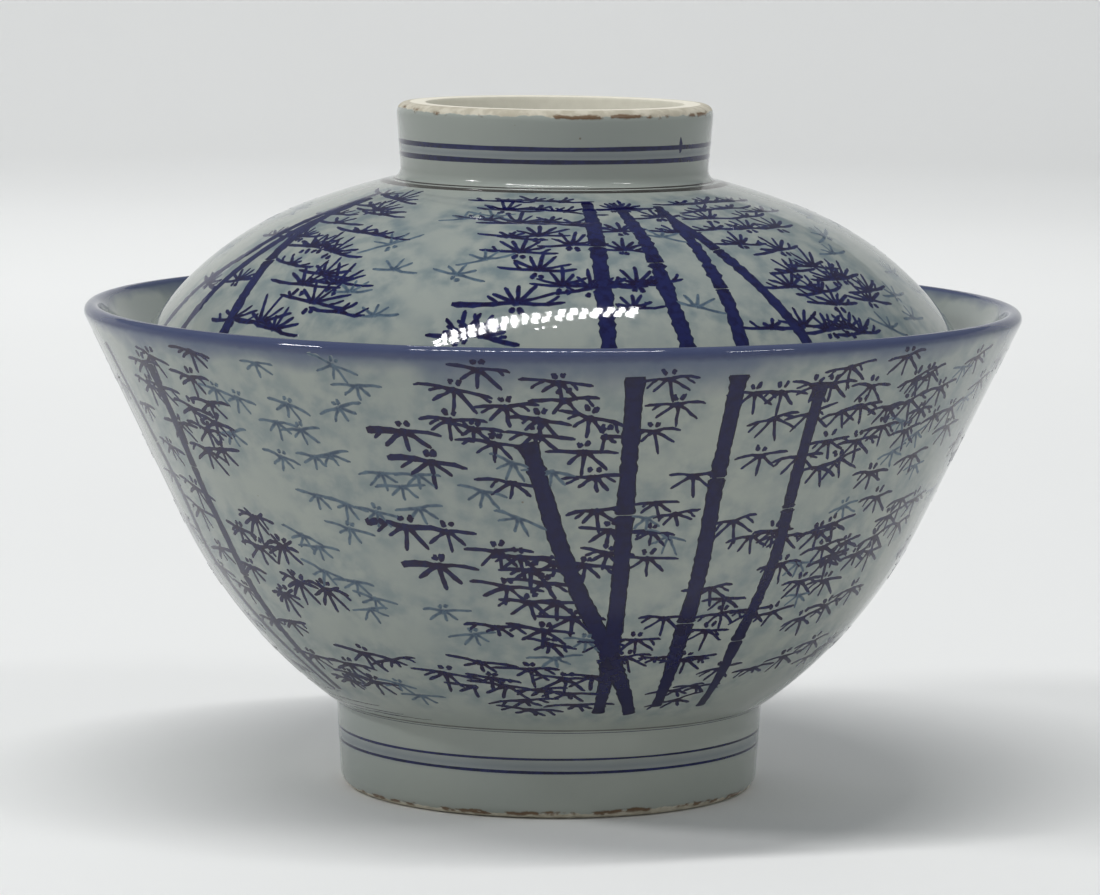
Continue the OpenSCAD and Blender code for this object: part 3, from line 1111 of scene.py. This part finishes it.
def lid_fields(skin, marks):
    section = outline_of(lid_section())
    edge_along = lengths(section)[np.argmax(section[:, 0])]
    tread_along = edge_along + lengths(lid_dome())[-1] + RING_TO_TREAD

    def fields(turn, radius, height, along):
        outside = (along > edge_along) & (radius > RING_FOOT_R)
        up = skin.up_at(radius)
        haze = np.where(outside, haze_at(skin, marks, turn, up), 0)
        on_ring = (along > edge_along) & (radius > RING_WAIST_R - 0.5) & (height > RING_FOOT_Z)
        wash = on_ring * between(height, RING_LINES[0] + 0.15, RING_LINES[1] - 0.05)
        # darker ring at the foot of the ring: partly darker glaze, partly painted shade in the crease
        near_join = (along > edge_along) & (radius > RING_WAIST_R + 0.5)
        join = np.where(near_join, np.exp(-((radius - RING_FOOT_R - 0.35) / 0.35) ** 2), 0)
        ragged = waves(turn, 9, (2, 3, 4, 7, 12), 0.2)
        on_top = (height > RING_FOOT_Z + 1.5) & (radius > RING_IN_R - 1)
        depth = np.where(along > tread_along, 9.0, 0.75)
        bare = np.where(on_top, height - (COVERED_Z - depth) + ragged, NOT_BARE)
        far_lip = np.full_like(turn, FAR_FROM_LIP)
        stained = np.exp(-((turn - 0.35) / 0.35) ** 2)
        return {"lip": far_lip, "haze": haze, "wash": wash, "join": join, "bare": bare,
                "stained": stained}

    return fields


# ---------------------------------------------------------------- the two pieces and their print

LEAF_DARK = print_material("cobalt_leaves", (0.007, 0.009, 0.058), (0.010, 0.003, 0.028),
                           (0.020, 0.032, 0.085), 0.76)
LEAF_PALE = print_material("cobalt_pale", (0.09, 0.135, 0.18), (0.045, 0.07, 0.11),
                           (0.21, 0.245, 0.25), 0.25)
CANE_BLUE = print_material("cobalt_canes", (0.007, 0.007, 0.052), (0.006, 0.004, 0.032),
                           (0.003, 0.003, 0.015), 0.6)
LID_LEAF = print_material("cobalt_lid_leaves", (0.010, 0.013, 0.075), (0.008, 0.004, 0.032),
                          (0.055, 0.075, 0.14), 0.42)
LID_CANE = print_material("cobalt_lid_canes", (0.012, 0.015, 0.08), (0.007, 0.005, 0.035),
                          (0.012, 0.015, 0.05), 0.5)
LINE_BLUE = print_material("cobalt_lines", (0.012, 0.016, 0.085), (0.005, 0.007, 0.04),
                           (0.04, 0.05, 0.11), 0.62)

# a dark line at the foot of the lid's ring: partly a dark joint, partly painted shade in the crease
JOIN_DARK_AND_SHADE = print_material("join_line_and_crease_shade", (0.040, 0.031, 0.031), (0.018, 0.013, 0.013),
                           (0.06, 0.05, 0.048), 0.8)


def make_bowl():
    skin = Skin(bowl_wall(), warp_lip)
    brush = paint_bamboo(skin, 3, BOWL_CANES, BOWL_DARK, BOWL_PALE, BOWL_GROUND)
    glaze = glaze_material("bowl_glaze", BOWL_HAZE)
    piece = turned("bowl_porcelain", bowl_section(), warp_lip, "bowl", glaze,
                   bowl_fields(skin, brush.marks))
    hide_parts("bowl")
    brush.canes.build("bowl_bamboo_canes", "bowl", CANE_BLUE)
    brush.dark.build("bowl_bamboo_leaves", "bowl", LEAF_DARK)
    brush.pale.build("bowl_pale_leaves", "bowl", LEAF_PALE)
    lines = Strokes(Skin(foot_side(), no_warp))
    brushed_line(lines, FOOT_LINES[1], 0.42, 21)
    brushed_line(lines, FOOT_FINE_LINE, 0.22, 27, waver=0.03)
    brushed_line(lines, FOOT_LINES[0], 0.5, 24)
    lines.build("bowl_foot_lines", "bowl", LINE_BLUE)


SMEAR_ANGLE = 52
SMEAR_LIFT = 0.035


def add_smear(lines):
    """The small smear of cobalt across the upper line of the lid's ring."""
    turn = math.radians(SMEAR_ANGLE) + 0.012 * np.array([0, 0.5, -0.3, 0.6, 0.2, 0])
    up = lines.skin.up_at(RING_LINES[1]) + np.linspace(-0.7, 1.3, 6)
    half = 0.4 * np.array([0.4, 1, 0.9, 1.2, 0.7, 0.3])
    lines.add(turn, up, half, SMEAR_LIFT, np.full(6, 0.6))


def make_lid():
    skin = Skin(lid_dome(), no_warp, by_radius=True)
    brush = paint_bamboo(skin, 4, LID_CANES, LID_DARK, LID_PALE)
    glaze = glaze_material("lid_glaze", LID_HAZE)
    piece = turned("lid_porcelain", lid_section(), no_warp, "lid", glaze,
                   lid_fields(skin, brush.marks))
    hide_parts("lid")
    brush.canes.build("lid_bamboo_canes", "lid", LID_CANE)
    brush.dark.build("lid_bamboo_leaves", "lid", LID_LEAF)
    brush.pale.build("lid_pale_leaves", "lid", LEAF_PALE)
    # the dark line round the foot of the ring: partly a dark joint, partly painted shade in the crease
    join = Strokes(skin)
    brushed_line(join, RING_FOOT_R + 0.7, 1.4, 38, waver=0.04)
    join.build("lid_join_line", "lid", JOIN_DARK_AND_SHADE)
    lines = Strokes(Skin(ring_side(), no_warp))
    # its rise up the fillet: painted shade in the crease, with the dark joint
    rise = Strokes(lines.skin)
    brushed_line(rise, RING_FOOT_Z + 0.1, 0.6, 41, waver=0.03)
    rise.build("lid_join_rise_and_crease_shade", "lid", JOIN_DARK_AND_SHADE)
    brushed_line(lines, RING_LINES[1], 0.82, 31)
    brushed_line(lines, RING_LINES[0], 0.85, 34)
    add_smear(lines)
    lines.build("lid_ring_lines", "lid", LINE_BLUE)


# ---------------------------------------------------------------- camera, floor and light

CAMERA_AT = (-0.0002, -0.650, 0.1211)
CAMERA_DOWN = 6.8
CAMERA_ROLL = 0.6
SENSOR = 36.0
LENS = 166.3


def add_camera():
    data = bpy.data.cameras.new("camera")
    data.sensor_width = SENSOR
    data.lens = LENS
    data.clip_start = 0.01
    camera = bpy.data.objects.new("camera", data)
    bpy.context.scene.collection.objects.link(camera)
    tilt = Matrix.Rotation(math.radians(90 - CAMERA_DOWN), 4, "X")
    roll = Matrix.Rotation(math.radians(CAMERA_ROLL), 4, "Z")
    camera.matrix_world = Matrix.Translation(CAMERA_AT) @ tilt @ roll
    bpy.context.scene.camera = camera


def paper_material():
    nodes = Nodes("paper")
    cloud = nodes.noise(260.0, detail=2.0)
    colour = nodes.mix(cloud, (0.84, 0.84, 0.825), (0.88, 0.88, 0.87))
    nodes.plug(colour, nodes.shader.inputs["Base Color"])
    nodes.plug(0.9, nodes.shader.inputs["Roughness"])
    nodes.shader.inputs["Specular IOR Level"].default_value = 0.2
    return nodes.material


FLAT_R = 1.3
BEND_R = 0.4
WALL_H = 0.3
PAPER_SIDES = 96


def add_paper():
    """A pale round studio floor that curves up into a low wall all around, as one smooth sweep."""
    flat = [(radius, 0.0) for radius in np.linspace(0, FLAT_R, 14)]
    bend = [(FLAT_R + BEND_R * math.sin(a), BEND_R - BEND_R * math.cos(a))
            for a in np.linspace(0.1, 1.5, 16)]
    wall = [(FLAT_R + BEND_R, BEND_R + WALL_H * t) for t in np.linspace(0.1, 1, 4)]
    line = np.array(flat[1:] + bend + wall)
    turns = np.linspace(0, 2 * math.pi, PAPER_SIDES, endpoint=False)
    vertices = [(0, 0, 0)]
    for radius, height in line:
        vertices += [(radius * math.sin(t), -radius * math.cos(t), height) for t in turns]
    count = len(turns)
    faces = [(0, 1 + i, 1 + (i + 1) % count) for i in range(count)]
    for row in range(len(line) - 1):
        low = 1 + row * count
        for i in range(count):
            j = (i + 1) % count
            faces.append((low + i, low + count + i, low + count + j, low + j))
    mesh = bpy.data.meshes.new("paper_sweep")
    mesh.from_pydata(vertices, [], faces)
    mesh.shade_smooth()
    mesh.materials.append(paper_material())
    paper = bpy.data.objects.new("paper_sweep", mesh)
    bpy.context.scene.collection.objects.link(paper)


def add_light(name, at, aim, size, power, mirrored=True):
    """A rectangular light at a place, turned towards aim. Soft fills don't mirror in the glaze."""
    data = bpy.data.lights.new(name, "AREA")
    data.shape = "RECTANGLE"
    data.size = size[0]
    data.size_y = size[1]
    data.energy = power
    lamp = bpy.data.objects.new(name, data)
    lamp.visible_glossy = mirrored
    bpy.context.scene.collection.objects.link(lamp)
    place = np.array(at, float)
    back = place - np.array(aim, float)
    back /= np.linalg.norm(back)
    side = np.cross((0, 1, 0) if abs(back[2]) > 0.9 else (0, 0, 1), back)
    side /= np.linalg.norm(side)
    up = np.cross(back, side)
    rows = [list(row) + [place[i]] for i, row in enumerate(zip(side, up, back))]
    lamp.matrix_world = Matrix(rows + [[0, 0, 0, 1]])


SKY_COLOUR = (0.86, 0.93, 1.0, 1)
SKY_STRENGTH = 0.225
MIDDLE = (0, 0, 0.06)
WASHES = [
    # name, place, aim, size, power
    ("wall_wash", (-0.3, 1.15, 0.45), (-0.3, 2.0, 0.3), (1.4, 0.5), 0.42),
    ("floor_wash", (-0.1, 0.85, 0.65), (-0.1, 0.85, 0), (0.9, 0.4), 2.3),
]
LAMPS = [
    # name, place, size, power
    ("left_lamp", (-1.10, -0.35, 0.98), (0.30, 0.045), 5.2),
    ("right_lamp", (0.92, -0.48, 1.10), (0.39, 0.03), 1.9),
    ("back_lamp", (-0.11, 0.70, 0.71), (0.006, 0.08), 0.03),
]
PANES = 38
PANE_Z = 1.45
PANE_ASIDE = 0.022
PANE_SIZE = (0.025, 0.056)
PANE_POWER = 0.265
SPARE_PANES = 3
SPARE_SIZE = (0.016, 0.020)
SPARE_POWER = 0.08


def add_lights():
    world = bpy.data.worlds.new("room")
    world.use_nodes = True
    sky = world.node_tree.nodes["Background"]
    sky.inputs["Color"].default_value = SKY_COLOUR
    sky.inputs["Strength"].default_value = SKY_STRENGTH
    bpy.context.scene.world = world
    for name, at, aim, size, power in WASHES:
        add_light(name, at, aim, size, power, mirrored=False)
    for name, at, size, power in LAMPS:
        add_light(name, at, MIDDLE, size, power)
    # the long lamp overhead is two rows of small bright panes, set like a zip
    for i in range(PANES):
        t = i / (PANES - 1)
        aside = PANE_ASIDE if i % 2 else -PANE_ASIDE
        at = (-0.60 + 0.95 * t - 0.3 * aside, -0.39 + 0.30 * t + aside, PANE_Z)
        add_light(f"pane_{i:02d}", at, MIDDLE, PANE_SIZE, PANE_POWER)
    for i in range(SPARE_PANES):
        at = (-0.08 + 0.044 * i, -0.34 + 0.014 * i, PANE_Z)
        add_light(f"spare_pane_{i}", at, MIDDLE, SPARE_SIZE, SPARE_POWER)


make_bowl()
make_lid()
add_camera()
add_paper()
add_lights()
bpy.context.scene.view_settings.view_transform = "Standard"
